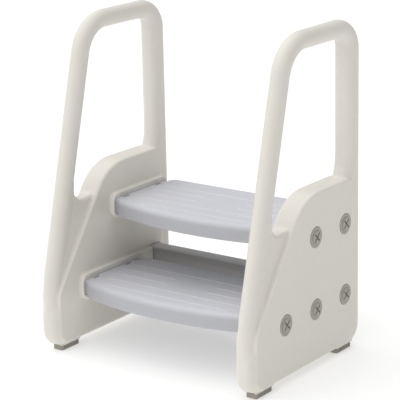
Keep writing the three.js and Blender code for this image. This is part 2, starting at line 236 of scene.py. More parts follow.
def chainField(u, v, chain):
    # Distance to the nearest point of the chain, positive on its left, and how far along it is.
    best, along, travelled = np.inf, 0.0, 0.0
    for part in chain:
        if len(part) == 3:
            (u0, v0), (du, dv), length = part
            t = np.clip((u - u0) * du + (v - v0) * dv, 0, length)
            gapU, gapV = u - u0 - t * du, v - v0 - t * dv
            left = np.sign(du * gapV - dv * gapU)
            gap = np.hypot(gapU, gapV)
        else:
            (u0, v0), radius, first, turn = part
            ccw, length = math.copysign(1, turn), radius * abs(turn)
            angle = (np.arctan2(v - v0, u - u0) - first) * ccw
            angle = np.mod(angle - abs(turn) / 2 + math.pi, 2 * math.pi) - math.pi
            angle = np.clip(angle + abs(turn) / 2, 0, abs(turn))
            nearU = u0 + radius * np.cos(first + ccw * angle)
            nearV = v0 + radius * np.sin(first + ccw * angle)
            left = np.sign(radius - np.hypot(u - u0, v - v0)) * ccw
            gap, t = np.hypot(u - nearU, v - nearV), radius * angle
        closer = gap < np.abs(best)
        best = np.where(closer, gap * np.where(left == 0, 1, left), best)
        along = np.where(closer, travelled + t, along)
        travelled += length
    return best, along


def outlineField(u, v, chain):
    # distance to a closed anticlockwise outline, negative inside
    return -chainField(u, v, chain)[0]


def chainPoints(chain, arcStep=math.radians(9)):
    # the chain as a loop of points, arcs in equal short chords
    loop = []
    for part in chain:
        if len(part) == 3:
            loop += [part[0], part[0] + part[1] * part[2]]
        else:
            centre, radius, first, turn = part
            angles = first + np.linspace(0, turn, max(2, round(abs(turn) / arcStep)) + 1)
            loop += list(centre + radius * np.stack([np.cos(angles), np.sin(angles)], 1))
    loop = np.array(loop)
    fresh = np.linalg.norm(loop - np.roll(loop, 1, 0), axis=1) > 1e-6
    return loop[fresh]


def rectangle(low, high, radius):
    return roundedChain([(low[0], low[1], radius), (high[0], low[1], radius),
                         (high[0], high[1], radius), (low[0], high[1], radius)])


# ---- joining and cutting fields ----


def softUnion(a, b, reach):
    # the nearer of two surfaces, with a fillet where they meet
    overlap = np.maximum(reach - np.abs(a - b), 0)
    return np.minimum(a, b) - overlap * overlap / (4 * reach)


def softCut(a, b, reach):
    # a without b, the new rim eased
    return -softUnion(-a, b, reach)


def roundMeet(a, b, radius):
    # the space inside both, their common edge rounded to a true radius
    corner = np.hypot(np.maximum(radius + a, 0), np.maximum(radius + b, 0))
    return np.minimum(-radius, np.maximum(a, b)) + corner


def smoothStep(value, low, high):
    t = np.clip((value - low) / (high - low), 0, 1)
    return t * t * (3 - 2 * t)


def roundedSlab(flat, across, half, ease):
    # an outline given a thickness, its rims rounded
    return roundMeet(flat, np.abs(across) - half, ease)


# ---- from a field to a mesh ----


def gridLines(low, high, step, exact=()):
    # even lines from low to high, giving way to the exact ones
    exact = np.array(sorted(exact), float)
    lines = np.linspace(low, high, round((high - low) / step) + 1)
    if len(exact):
        clear = np.abs(lines[:, None] - exact[None]).min(1) > 0.55 * step
        lines = np.concatenate([lines[clear], exact])
    return np.sort(lines)


def spaced(values, least=0.6):
    # the values in order, without those that lie too close after another
    values = np.array(sorted(values))
    return values[np.append(True, np.diff(values) > least)]


def slopes(field, points, reach):
    # the field's gradient, by differences a short reach either way
    parts = []
    for axis in range(3):
        shift = np.zeros(3)
        shift[axis] = reach
        parts.append(field(*(points + shift).T) - field(*(points - shift).T))
    return np.stack(parts, 1) / (2 * reach)


def unit(vectors):
    return vectors / np.maximum(np.linalg.norm(vectors, axis=1, keepdims=True), 1e-9)


def surfaceOf(field, lines):
    # Dual contouring: where a grid edge crosses the surface, find the crossing and its normal;
    # each cell's vertex lies where the planes of its crossings meet best, which keeps sharp edges
    # sharp, and each crossed edge joins its four cells in a face turned outwards.
    shape = np.array([len(line) for line in lines])
    values = field(lines[0][:, None, None], lines[1][None, :, None], lines[2][None, None, :])
    values = np.broadcast_to(values, shape)
    crossings, cells, turned = [], [], []
    for axis in range(3):
        low = [slice(None)] * 3
        high = [slice(None)] * 3
        low[axis], high[axis] = slice(0, -1), slice(1, None)
        before, after = values[tuple(low)] < 0, values[tuple(high)] < 0
        start = np.argwhere(before != after)
        end = start.copy()
        end[:, axis] += 1
        a = np.stack([lines[k][start[:, k]] for k in range(3)], 1)
        b = np.stack([lines[k][end[:, k]] for k in range(3)], 1)
        inside = before[tuple(start.T)]
        outward = np.where(inside[:, None], b, a)
        inward = np.where(inside[:, None], a, b)
        for _ in range(9):
            # halve the edge towards the crossing
            middle = (outward + inward) / 2
            isIn = field(*middle.T)[:, None] < 0
            inward, outward = np.where(isIn, middle, inward), np.where(isIn, outward, middle)
        crossings.append((outward + inward) / 2)
        u, v = (axis + 1) % 3, (axis + 2) % 3
        around = []
        for du, dv in ((-1, -1), (0, -1), (0, 0), (-1, 0)):
            cell = start.copy()
            cell[:, u] += du
            cell[:, v] += dv
            around.append(cell @ np.array([shape[1] * shape[2], shape[2], 1]))
        cells.append(np.stack(around, 1))
        turned.append(~inside)
    crossings, cells = np.concatenate(crossings), np.concatenate(cells)
    turned = np.concatenate(turned)
    normals = unit(slopes(field, crossings, 0.02))

    used, member = np.unique(cells, return_inverse=True)
    member = member.reshape(cells.shape)
    count = np.bincount(member.ravel(), minlength=len(used))

    def gather(value):
        return np.bincount(member.ravel(), np.repeat(value, 4), len(used))

    centre = np.stack([gather(crossings[:, k]) for k in range(3)], 1) / count[:, None]
    pull = (normals * crossings).sum(1)
    system = np.zeros((len(used), 3, 3))
    for i in range(3):
        for j in range(i, 3):
            system[:, i, j] = system[:, j, i] = gather(normals[:, i] * normals[:, j])
    goal = np.stack([gather(normals[:, k] * pull) for k in range(3)], 1)
    goal -= np.einsum("nij,nj->ni", system, centre)
    # a light pull to the crossings' middle settles what their planes leave open
    system += np.eye(3) * (0.03 * count)[:, None, None]
    vertices = centre + np.linalg.solve(system, goal[:, :, None])[:, :, 0]

    corner = np.stack(np.unravel_index(used, shape), 1)
    low = np.stack([lines[k][corner[:, k]] for k in range(3)], 1)
    high = np.stack([lines[k][corner[:, k] + 1] for k in range(3)], 1)
    vertices = np.clip(vertices, low, high)
    # two short steps down the slope bring the vertices onto the surface
    for _ in range(2):
        steep = slopes(field, vertices, 0.02)
        size = np.maximum((steep ** 2).sum(1), 0.25)
        move = steep * (field(*vertices.T) / size)[:, None]
        vertices = vertices - np.clip(move, -0.6, 0.6)
    faces = np.where(turned[:, None], member[:, ::-1], member)
    return vertices, faces


def cornerNormals(field, vertices, faces, crisp=0.9):
    # Normals from the field: one for the whole vertex where the surface is smooth there, and one
    # for each face's side of it where an edge is sharp.
    whole = unit(slopes(field, vertices, 0.05))
    middle = vertices[faces].mean(1, keepdims=True)
    nearby = (vertices[faces] * 0.8 + middle * 0.2).reshape(-1, 3)
    own = unit(slopes(field, nearby, 0.05))
    shared = whole[faces.ravel()]
    smooth = (own * shared).sum(1) > crisp
    return np.where(smooth[:, None], shared, own)


def edgeness(field, vertices, reach):
    # how strongly the surface turns: 1 on a tight outer edge, 0 on a flat, -1 in a tight crease
    total = -6 * field(*vertices.T)
    for axis in range(3):
        shift = np.zeros(3)
        shift[axis] = reach
        total = total + field(*(vertices + shift).T) + field(*(vertices - shift).T)
    return np.clip(total / reach, -1, 1)


def addPiece(name, vertices, faces, finish, node, normals=None, edge=None, paintedShade=None):
    # a mesh in metres that stands for one CAD node; faces may have three or more corners
    mesh = bpy.data.meshes.new(name)
    mesh.from_pydata((vertices * metre).tolist(), [], [list(face) for face in faces])
    mesh.materials.append(finish)
    mesh.shade_smooth()
    if edge is None:
        edge = np.zeros(len(vertices))
    layer = mesh.attributes.new("edge", "FLOAT", "POINT")
    layer.data.foreach_set("value", np.ascontiguousarray(edge, np.float32))
    # the share of painted shade at each point
    if paintedShade is not None:
        layer = mesh.attributes.new("paintedShade", "FLOAT", "POINT")
        layer.data.foreach_set("value", np.ascontiguousarray(paintedShade, np.float32))
    if normals is None:
        mesh.set_sharp_from_angle(angle=math.radians(38))
    else:
        mesh.normals_split_custom_set(normals.tolist())
    piece = bpy.data.objects.new(name, mesh)
    bpy.context.scene.collection.objects.link(piece)
    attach(piece, "root")
    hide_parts(node)


screwSpots = ("lower_front", "lower_middle", "lower_rear", "upper_front", "upper_rear")
screwAt = {spot: nodeMiddle(f"right_{spot}_screw")[1:] for spot in screwSpots}
treadPitch = screwAt["lower_rear"][0] - screwAt["lower_middle"][0]
treadTongue = (-26, 122)  # front and rear of a tread's held ends, from its front screw
nutRoom = 8.3  # from a nut's middle to the end of its slot
screwHole = 4.3  # radius

# ---- side panels ----

panelLook = {
    "step": 2.3,  # grid of the mesh
    "thickness": 42,  # over the raised faces
    "frameThickness": 39,  # over the leg, the bottom edge and the rear post
    "frameRounding": 16,
    "faceRounding": 4,  # rim of the raised faces
    "faceInset": (11, 30, 7),  # from the front, the rear and the bottom
    "railRadius": 16,
    "kneeHeight": 126.5,  # the rail is upright below it and leans back above it
    "kneeRadius": 160,
    "lean": 0.256,
    "hoopFrontRadius": 68,
    "hoopRearRadius": 38,
    "postDepth": 36.5,
    "shoulderLength": 30,  # over it the round bar grows to the post's section
    "frontHeel": 31,
    "rearHeel": 35,
    "blockTop": 317,
    "shoulder": (-13.5, 94),  # y and radius of the roll over to the sloping edge
    "slopeFoot": (97, 80),  # height and radius where that edge reaches the front
    "webThickness": 26,
    "webRounding": 7,
    "webFillet": 7,
    "webTop": ((0, 276, 1), (-33.5, 271, 20), (-104.25, 263, 24)),  # y, height, radius
    "webMeetsRail": 300,  # height
    "webFlare": (5, 110, 200),  # added to each side, in full below the first height
    "faceBlend": 3,  # fillet at the foot of the raised faces and the collars
    "collarProud": 8,
    "collarRoot": 6,  # how far a collar reaches into the face
    "collarWall": 7,
    "collarRise": 10.5,
    "collarRadius": 15,
    "collarRounding": 3,
    "pocketDepth": 10,
    "pocketRadius": 6.5,
    "barPocketRadius": 2,
    "pocketRim": 1.2,
    "counterbore": (18.9, 1.5),  # radius and depth under the screws' heads
    "footSeat": (12, 25, 6),  # half sizes of the flat block over each foot
    "stemHole": 6.3,
    "gap": 0.3,
}


def makePanelField(look):
    # The hoop is a section carried along a rounded path. Its leg and post run on down as the rims
    # of a slab, whose faces stand proud inside a rounded line; a thinner web closes the corner
    # below the hoop; collars stand on the inner face round pockets that take the treads and the
    # crossbar. x runs from the inner face (-) to the outer face (+).
    low, high = nodeBox("right_side_panel")
    half, frameHalf = look["thickness"] / 2, look["frameThickness"] / 2
    radius, rounding = look["railRadius"], look["frameRounding"]
    front, rear, bottom, top = low[1], high[1], low[2], high[2]
    railY, barZ = front + radius, top - radius
    hoopY = railY + (barZ - look["kneeHeight"]) * look["lean"]
    hoop = roundedChain([
        (railY, bottom + 45), (railY, look["kneeHeight"], look["kneeRadius"]),
        (hoopY, barZ, look["hoopFrontRadius"]), (rear - radius, barZ, look["hoopRearRadius"]),
        (rear - radius, look["blockTop"] - 60),
    ], closed=False)
    bendY = rear - radius - look["hoopRearRadius"]
    bendAlong = float(chainField(bendY, barZ, hoop)[1])
    bendEnd = bendAlong + look["hoopRearRadius"] * math.pi / 2
    postFront, blockTop = rear - look["postDepth"], look["blockTop"]
    slopeZ, slopeRadius = look["slopeFoot"]
    shoulderY, shoulderRadius = look["shoulder"]
    slabOutline = roundedChain([
        (front, bottom, look["frontHeel"]), (rear, bottom, look["rearHeel"]),
        (rear, blockTop + 60, 2), (postFront + 1, blockTop + 60, 2),
        (postFront - 2, blockTop + 16, 40), (postFront - 10, blockTop - 3, 11),
        (shoulderY + 3, blockTop - 3, shoulderRadius), (front + 3, slopeZ - 5, slopeRadius),
        (front, slopeZ - 30, 40),
    ])
    insetFront, insetRear, insetBottom = look["faceInset"]
    faceFront = front + insetFront
    slope = (blockTop - slopeZ) / (shoulderY - front)
    faceOutline = roundedChain([
        (faceFront, bottom + insetBottom, 20), (rear - insetRear, bottom + insetBottom, 20),
        (rear - insetRear, blockTop, 17), (shoulderY, blockTop, shoulderRadius),
        (faceFront, slopeZ + insetFront * slope, 45),
    ])
    webHigh = look["webMeetsRail"]
    webY = railY + (webHigh - look["kneeHeight"]) * look["lean"]
    web = roundedChain([
        (railY, slopeZ - 20, 1), (0, slopeZ - 20, 1), *look["webTop"],
        (webY + 14, webHigh, 2), (webY, webHigh, 2),
    ])

    collars, pockets = [], []
    wall, gap = look["collarWall"], look["gap"]
    barLow, barHigh = nodeBox("rear_crossbar")
    for level in ("lower", "upper"):
        nose, rise = nodeBox(f"{level}_tread")
        start, end = screwAt[f"{level}_front"][0] + np.array(treadTongue)
        collarRear = nodeMiddle("rear_crossbar")[1] if level == "lower" else end + wall
        collars.append(rectangle((start - wall, nose[2] - wall),
                                 (collarRear, rise[2] + look["collarRise"]),
                                 look["collarRadius"]))
        pockets.append(rectangle((start - gap, nose[2] - gap), (end + gap, rise[2] + gap),
                                 look["pocketRadius"]))
    pockets.append(rectangle((barLow[1] - gap, barLow[2] - gap),
                             (barHigh[1] + gap, barHigh[2] + gap), look["barPocketRadius"]))
    feet = []
    for end in ("front", "rear"):
        footLow, footHigh = nodeBox(f"right_{end}_foot")
        feet.append(((footLow[1] + footHigh[1]) / 2, footHigh[2]))
    flare, flareLow, flareHigh = look["webFlare"]
    seatX, seatY, seatZ = look["footSeat"]
    boreRadius, boreDepth = look["counterbore"]

    def field(x, y, z):
        offset, along = chainField(y, z, hoop)
        grown = smoothStep(along, bendAlong - look["shoulderLength"], bendEnd)
        depth = radius + (look["postDepth"] / 2 - radius) * grown
        width = radius + (frameHalf - radius) * grown
        bar = roundMeet(np.abs(x) - width, np.abs(offset + depth - radius) - depth, rounding)
        slab = roundedSlab(outlineField(y, z, slabOutline), x, frameHalf, rounding)
        webHalf = look["webThickness"] / 2 + flare * smoothStep(-z, -flareHigh, -flareLow)
        sheet = roundedSlab(outlineField(y, z, web), x, webHalf, look["webRounding"])
        raised = roundedSlab(outlineField(y, z, faceOutline), x, half, look["faceRounding"])
        body = softUnion(np.minimum(bar, slab), sheet, look["webFillet"])
        body = softUnion(body, raised, look["faceBlend"])
        for outline in collars:
            edge = outlineField(y, z, outline)
            across = x + half + (look["collarProud"] - look["collarRoot"]) / 2
            ring = roundedSlab(edge, across, (look["collarProud"] + look["collarRoot"]) / 2,
                               look["collarRounding"])
            body = softUnion(body, ring, look["faceBlend"])
        # the lower collar ends square against the front of the crossbar
        beforeBar = np.maximum(np.maximum(x + half, barLow[1] - gap - y), y - barHigh[1])
        body = np.maximum(body, -np.maximum(beforeBar, z - barHigh[2] - 5))
        for footY, stemTop in feet:
            seat = np.maximum(np.abs(x) - seatX, np.abs(y - footY) - seatY)
            seat = np.maximum(seat, np.abs(z - bottom - seatZ) - seatZ)
            body = np.minimum(body, seat)
            stem = np.maximum(np.hypot(x, y - footY) - look["stemHole"], z - stemTop - gap)
            body = np.maximum(body, -stem)
        for outline in pockets:
            hollow = np.maximum(outlineField(y, z, outline), x + half - look["pocketDepth"])
            body = softCut(body, hollow, look["pocketRim"])
        for screwY, screwZ in screwAt.values():
            reach = np.hypot(y - screwY, z - screwZ)
            body = np.maximum(body, screwHole - reach)
            body = np.maximum(body, -np.maximum(reach - boreRadius, half - boreDepth - x))
        return body

    return field, low, high, collars


panelField, panelLow, panelHigh, collarChains = makePanelField(panelLook)
half = panelLook["thickness"] / 2
panelMiddle = panelHigh[0] - half
step = panelLook["step"] * 1
# grid lines just outside, on and inside each rim of the collars and the faces keep them crisp
collarEdges = np.array([[part[0] for part in chain if len(part) == 3] for chain in collarChains])
rims = (-0.9, 0.8, 2.2)
aroundY = [edge + sign * rim for edge, sign in
           ((collarEdges[0][:, 0].min(), 1), (collarEdges[0][:, 0].max(), -1),
            (collarEdges[1][:, 0].min(), 1)) for rim in rims]
aroundZ = [edge + sign * rim for chain in collarEdges for edge, sign in
           ((chain[:, 1].min(), 1), (chain[:, 1].max(), -1)) for rim in rims]
panelLines = [
    gridLines(-half - 12, half + 2.2, step,
              (-half - 8.9, -half - 7.2, -half - 5.7, -half - 1.6, -half + 1.2,
               half - 2.6, half - 0.75, half + 1.0)),
    gridLines(panelLow[1] - 3, panelHigh[1] + 3, step, aroundY),
    gridLines(panelLow[2] - 3, panelHigh[2] + 3, step, aroundZ),
]
vertices, faces = surfaceOf(panelField, panelLines)
normals = cornerNormals(panelField, vertices, faces)
edge = edgeness(panelField, vertices, 2.5)
for side, name in ((1, "rightSidePanel"), (-1, "leftSidePanel")):
    # the left panel is the right one in a mirror, its faces turned round again
    mirror = np.array([side, 1, 1])
    placed = (vertices + np.array([panelMiddle, 0, 0])) * mirror
    turned = faces if side > 0 else faces[:, ::-1]
    facing = normals.reshape(-1, 4, 3) if side > 0 else normals.reshape(-1, 4, 3)[:, ::-1]
    addPiece(name, placed, turned, panelFinish,
             "right_side_panel" if side > 0 else "left_side_panel",
             (facing * mirror).reshape(-1, 3), edge)
print("side panels:", len(faces), "faces each")

# ---- treads ----

treadLook = {
    "step": (5.0, 2.1),  # grid of the mesh, across and along
    "ease": 10,
    "lip": 2.5,  # rounding of the lower rim
    "bow": 571,  # radius of the front edge
    "frontCorner": 12,
    "rearCorner": 18,
    "tongueRadius": 7,
    "shoulder": 180.7,  # half width between the collars
    "skin": 3,
    "wall": 4.4,  # between the front or rear edge and the cells
    "cellsEnd": 165,
    "rib": 2.4,
    "columns": 6,
    "rows": 4,
    "gripHeight": 1.1,
    "gripWidth": 3.4,
    # raised grip lines: place from the front screw, and the half widths they start and end at
    "grips": ((91.5, 0, 170), (62.5, 44, 170), (34.5, 44, 170), (5, 0, 150), (-25.5, 0, 132)),
    "nutSlot": (4.6, 18),
    "slotRim": 0.8,
    "slotShade": 4.4,  # how deep the painted shade in the slots is, where a sheer side's is 1
    "holeReach": 14,  # how far a screw's hole runs in past its slot
    # heights of the grid between the rims, from the walking face
    "layers": (-25.5, -22.4, -20.5, -18.2, -15.2, -12.5, -9.8, -7.6, -5.6, -3.9, -1.6),
}


def makeTreadField(level, look):
    # A bowed plate with rounded rims and a tongue at each end, raised grip lines on top, open
    # cells between ribs underneath, and a slot for each nut. Measured from the front screw's axis
    # and the walking face.
    low, high = nodeBox(f"{level}_tread")
    thickness, end = high[2] - low[2], high[0]
    origin, screwZ = screwAt[f"{level}_front"]
    screwDrop = high[2] - screwZ
    nose, rear = low[1] - origin, high[1] - origin
    bowCentre = nose + look["bow"]
    tongue = rectangle((treadTongue[0], -thickness), (treadTongue[1], 0), look["tongueRadius"])
    ribX = (np.arange(1, look["columns"]) / look["columns"] * 2 - 1) * look["cellsEnd"]
    ribY = nose + np.arange(1, look["rows"]) / look["rows"] * (rear - nose)
    slotX = nodeMiddle("right_lower_front_nut")[0]

    def field(x, y, z):
        side = np.abs(x)
        edgeFront = np.hypot(x, y - bowCentre) - look["bow"]
        plan = roundMeet(edgeFront, side - look["shoulder"], look["frontCorner"])
        plan = roundMeet(plan, roundMeet(y - rear, side - look["shoulder"], look["rearCorner"]), 1)
        gripReach = np.inf
        for gripY, start, stop in look["grips"]:
            past = np.maximum(np.maximum(start - side, side - stop), 0)
            gripReach = np.minimum(gripReach, np.hypot(past, y - gripY))
        rise = look["gripHeight"] * (1 - smoothStep(gripReach, 0, look["gripWidth"] / 2))
        body = roundMeet(plan, z - rise, look["ease"])
        body = roundMeet(body, -thickness - z, look["lip"])
        ends = roundMeet(outlineField(y, z, tongue), side - end, 1)
        body = np.minimum(body, np.maximum(ends, z))
        cell = roundMeet(plan + look["wall"], z + look["skin"], look["ease"] - look["skin"])
        cell = np.maximum(cell, side - look["cellsEnd"])
        for line in ribX:
            cell = np.maximum(cell, look["rib"] / 2 - np.abs(x - line))
        for line in ribY:
            cell = np.maximum(cell, look["rib"] / 2 - np.abs(y - line))
        body = np.maximum(body, -cell)
        for screwY in (0, treadPitch):
            slotField = np.maximum(np.abs(side - slotX) - look["nutSlot"][0] / 2,
                                   np.abs(y - screwY) - look["nutSlot"][1] / 2)
            slotField = np.maximum(slotField, -z - screwDrop - nutRoom)
            body = softCut(body, slotField, look["slotRim"])
            hole = np.maximum(np.hypot(y - screwY, z + screwDrop) - screwHole,
                              slotX - look["holeReach"] - side)
            body = np.maximum(body, -hole)
        return body

    # grid lines beside every rib, slot, grip and held end
    gripEnds = {stop for grip in look["grips"] for stop in grip[1:] if 0 < stop < look["cellsEnd"]}
    places = [slotX + gap for gap in (-12.6, -10.4, -8.2, -6, -3.9, -1.6, 1, 3.4, 5)]
    places += [stop + gap for stop in gripEnds for gap in (-1.7, 0, 1.7)]
    places += [end + gap for gap in (-12, -7, -3, -0.8, 1.1)] + [look["cellsEnd"] - 1.5]
    acrossX = [sign * place for place in places for sign in (-1, 1)]
    acrossX += [line + gap for line in ribX for gap in (-2, 0, 2)]
    acrossY = [line + gap for line in ribY for gap in (-2, 0, 2)]
    acrossY += [grip[0] + gap for grip in look["grips"] for gap in (-2.2, -1.1, 0, 1.1, 2.2)]
    lines = [
        gridLines(-end - 3, end + 3, look["step"][0], spaced(acrossX)),
        gridLines(nose - 2.5, rear + 2.5, look["step"][1], spaced(acrossY)),
        np.array([gap - thickness for gap in (-3, -1, 0.4, 1.5, 2.9)] + [*look["layers"], 2.2]),
    ]
    return field, lines, np.array([0, origin, high[2]])


for level in ("lower", "upper"):
    treadField, treadLines, origin = makeTreadField(level, treadLook)
    vertices, faces = surfaceOf(treadField, treadLines)
    normals = cornerNormals(treadField, vertices, faces)
    edge = edgeness(treadField, vertices, 2.0)
    # painted shade: the sides are painted darker the further they turn from facing up
    paintedShade = 1 - np.clip(unit(slopes(treadField, vertices, 0.05))[:, 2], 0, 1)
    # and painted deep shade fills the nuts' slots
    slotWidth, slotLength = treadLook["nutSlot"]
    offSlot = np.abs(np.abs(vertices[:, 0]) - nodeMiddle("right_lower_front_nut")[0])
    alongSlot = np.minimum(np.abs(vertices[:, 1]), np.abs(vertices[:, 1] - treadPitch))
    inSlot = (offSlot < slotWidth / 2 + 0.4) & (alongSlot < slotLength / 2 + 0.4)
    paintedShade[inSlot & (vertices[:, 2] < -0.4)] = treadLook["slotShade"]
    addPiece(f"{level}Tread", vertices + origin, faces, treadFinish,
             f"{level}_tread", normals, edge, paintedShade)
    print(level, "tread:", len(faces), "faces")

# ---- pieces made of loops ----


def skin(loops, tips=(None, None)):
    # Neighbouring closed loops joined by quads, and each end closed by a fan to its tip.
    # Loops run anticlockwise seen from the side that the last one faces.
    rows, size = loops.shape[:2]
    vertices = loops.reshape(-1, 3)
    row, column = np.meshgrid(np.arange(rows - 1), np.arange(size), indexing="ij")
    a, b = row * size + column, row * size + (column + 1) % size
    faces = np.stack([a, b, b + size, a + size], 2).reshape(-1, 4).tolist()
    around = np.arange(size)
    for end, tip in enumerate(tips):
        tip = loops[-end].mean(0) if tip is None else np.array(tip, float)
        ring = around + (rows - 1) * size * end
        centre = len(vertices)
        vertices = np.vstack([vertices, tip])
        pair = (ring, np.roll(ring, -1)) if end else (np.roll(ring, -1), ring)
        faces += np.stack([*pair, np.full(size, centre)], 1).tolist()
    return vertices, faces


# ---- rear crossbar ----

crossbarLook = {
    "corner": 7,
    "step": 1.6,  # how far the lower front stands back
    "wall": 3,
    "bays": 6,
    "baysEnd": 165,
    "rib": 2.4,
    "slotWidth": 4.6,
    "endRounding": ((0, 0.94), (0.6, 0.9825), (1.5, 1)),  # from the end, and the profile's scale
    "litTop": (5, 0.5),  # from how far below the top the painted shade starts to lift, and where it is gone
}


def crossbarProfile(look):
    # A profile in (y, z) carried along x. Its under side is pushed up into a channel between
    # ribs, and into a narrow slot over each nut.
    low, high = nodeBox("rear_crossbar")
    front, rear, bottom, top = low[1], high[1], low[2], high[2]
    stepZ = top - (top - bottom) / 3
    outer = chainPoints(roundedChain([
        (front + look["step"], bottom, 1.5), (front + look["step"], stepZ - look["step"], 0.8),
        (front, stepZ, 0.8), (front, top, look["corner"]), (rear, top, look["corner"]),
        (rear, bottom, 1.5),
    ][::-1]))
    # start the loop at the rear end of the under side, so that the channel can follow it
    first = np.argmin(outer[:, 1] * 10 + outer[:, 0])
    outer = np.roll(outer, -first, 0)
    wall, ease = look["wall"], look["corner"] - look["wall"]
    inner = chainPoints(roundedChain([
        (front + look["step"] + wall, bottom), (front + look["step"] + wall, top - wall, ease),
        (rear - wall, top - wall, ease), (rear - wall, bottom),
    ], closed=False))
    return outer, inner


def crossbarStations(look, end, slotX):
    # places along x, each with what the under side does there and the profile's scale
    stations = [(side * (end - inward), "solid", scale) for inward, scale in look["endRounding"]
                for side in (-1, 1)]
    for middle in (-slotX, slotX):
        for edge in (middle - look["slotWidth"] / 2, middle + look["slotWidth"] / 2):
            kinds = ("solid", "slot") if edge < middle else ("slot", "solid")
            stations += [(edge, kind, 1) for kind in kinds]
    bayLength = 2 * look["baysEnd"] / look["bays"]
    for i in range(look["bays"]):
        left = -look["baysEnd"] + i * bayLength + look["rib"] / 2
        right = left + bayLength - look["rib"]
        stations += [(left, "solid", 1), (left, "channel", 1)]
        stations += [(left + (right - left) * part, "channel", 1) for part in (0.25, 0.5, 0.75)]
        stations += [(right, "channel", 1), (right, "solid", 1)]
    return sorted(stations, key=lambda station: station[0])


outer, inner = crossbarProfile(crossbarLook)
barLow, barHigh = nodeBox("rear_crossbar")
centre, bottom = nodeMiddle("rear_crossbar")[1:], barLow[2]
slotX, nutY, nutZ = nodeMiddle("right_lower_rear_nut")
loops = []
for x, kind, scale in crossbarStations(crossbarLook, barHigh[0], slotX):
    hollow = inner.copy()
    if kind == "slot":
        hollow[:, 0] = np.clip(hollow[:, 0], nutY - nutRoom, nutY + nutRoom)
        hollow[:, 1] = np.clip(hollow[:, 1], bottom, nutZ + nutRoom)
    if kind == "solid":
        hollow[:, 1] = bottom
    loop = centre + (np.vstack([outer, hollow]) - centre) * scale
    loops.append(np.column_stack([np.full(len(loop), x), loop]))
vertices, faces = skin(np.array(loops))
# painted shade darkens the bar below its top, which is left as lit
fadeFrom, fadeTo = barHigh[2] - np.array(crossbarLook["litTop"])
paintedShade = 1 - smoothStep(vertices[:, 2], fadeFrom, fadeTo)
addPiece("rearCrossbar", vertices, faces, barFinish, "rear_crossbar",
         paintedShade=paintedShade)
print("crossbar:", len(faces), "faces")

# ---- screws ----

screwLook = {
    "headRadius": 18.4,
    "proud": 3,
    "sink": 1.2,
    "flange": 1.1,  # height of the rim round the raised middle
    "bossRadius": 11.8,
    "crossLength": 20,
    "crossWidth": 2.8,
    "crossDepth": 1.8,
    "shankRadius": 4,
    "shankReach": 60,
    "between": 9,  # columns between two arms of the cross
}


def screwSurface(look):
    # A dial of rings whose spokes follow the arms of the cross: at radius r an arm's edges lie
    # at its middle angle plus and minus asin(half width / r). Heights run along the axis.
    halfWidth, armEnd = look["crossWidth"] / 2, look["crossLength"] / 2
    innermost = halfWidth * math.sqrt(2)
    face, rim, flange = look["proud"], look["headRadius"], look["flange"]
    boss = look["bossRadius"]
    # radius, height, height in the cross
    deep = face - look["crossDepth"]
    profile = [(innermost, face, deep)]
    profile += [(r, face, deep) for r in np.linspace(innermost * 1.25, armEnd - 0.4, 7)]
    profile += [(armEnd, face, deep), (armEnd + 0.02, face, face - 0.5), (armEnd + 0.2, face, face)]
    pastCross = len(profile)
    profile += [(r, h, h) for r, h in (
        (boss - 1.1, face - 0.05), (boss - 0.5, face - 0.3), (boss - 0.1, face - 0.8),
        (boss + 0.2, flange + 0.5), (boss + 0.5, flange + 0.1), (boss + 1.0, flange),
        (boss + 1.5, flange + 0.05), (rim - 1.4, flange), (rim - 0.7, flange - 0.15),
        (rim - 0.2, flange - 0.5), (rim, flange - 1.0), (rim, -look["sink"]),
        (rim - 0.4, -look["sink"]), (look["shankRadius"] + 1, -look["sink"]),
        (look["shankRadius"], -look["sink"] - 1), (look["shankRadius"], 2 - look["shankReach"]),
        (look["shankRadius"] - 1, -look["shankReach"]), (0.8, -look["shankReach"]))]
    profile = np.array(profile)
    radius = profile[:, 0]
    # past the cross the columns keep their angles
    spread = np.arcsin(np.clip(halfWidth / np.maximum(radius, innermost), -1, 1))
    spread[pastCross:] = spread[pastCross]
    columns = []
    for arm in range(4):
        middle = math.pi / 4 + arm * math.pi / 2
        lip = 0.12 / np.maximum(radius, 1)
        columns += [(middle - spread - lip, 0), (middle - spread, 1), (middle + 0 * spread, 1),
                    (middle + spread, 1), (middle + spread + lip, 0)]
        start, stop = middle + spread + lip, middle + math.pi / 2 - spread - lip
        columns += [(start + (stop - start) * part, 0)
                    for part in np.linspace(0, 1, look["between"] + 1)[1:-1]]
    angles = np.stack([column[0] for column in columns], 1)
    sunk = np.array([column[1] for column in columns])
    height = np.where(sunk[None] == 1, profile[:, 2:3], profile[:, 1:2])
    loops = np.stack([height, radius[:, None] * np.cos(angles), radius[:, None] * np.sin(angles)],
                     2)
    # painted shade in the cross, in the groove at the boss's foot and round the head's outer rim;
    # the boss's top edge is a little paler
    edge = np.zeros(height.shape)
    edge[(height < profile[:, 1:2] - 0.4) & (radius[:, None] < armEnd + 0.3)] = -1.0
    edge[(radius > boss + 0.1) & (radius < boss + 1.2)] = -0.8
    edge[(radius > boss - 1.3) & (radius < boss - 0.05)] = 0.7
    edge[radius > rim - 0.1] = -0.9
    vertices, faces = skin(loops[::-1], ((-look["shankReach"], 0, 0), (deep, 0, 0)))
    return vertices, faces, np.append(edge[::-1].ravel(), (0.0, -1.0))


screwVertices, screwFaces, screwEdge = screwSurface(screwLook)
for sideName, side in (("left", -1), ("right", 1)):
    for spot in screwSpots:
        node = f"{sideName}_{spot}_screw"
        middleY, middleZ = nodeMiddle(node)[1:]
        # half a turn about z brings the head to the other side
        spun = screwVertices * np.array([side, side, 1])
        words = spot.split("_")
        addPiece(f"{sideName}{words[0].title()}{words[1].title()}Screw",
                 spun + np.array([side * panelHigh[0], middleY, middleZ]),
                 screwFaces, screwFinish, node, edge=screwEdge)
print("screws:", len(screwFaces), "faces each")

# ---- feet ----

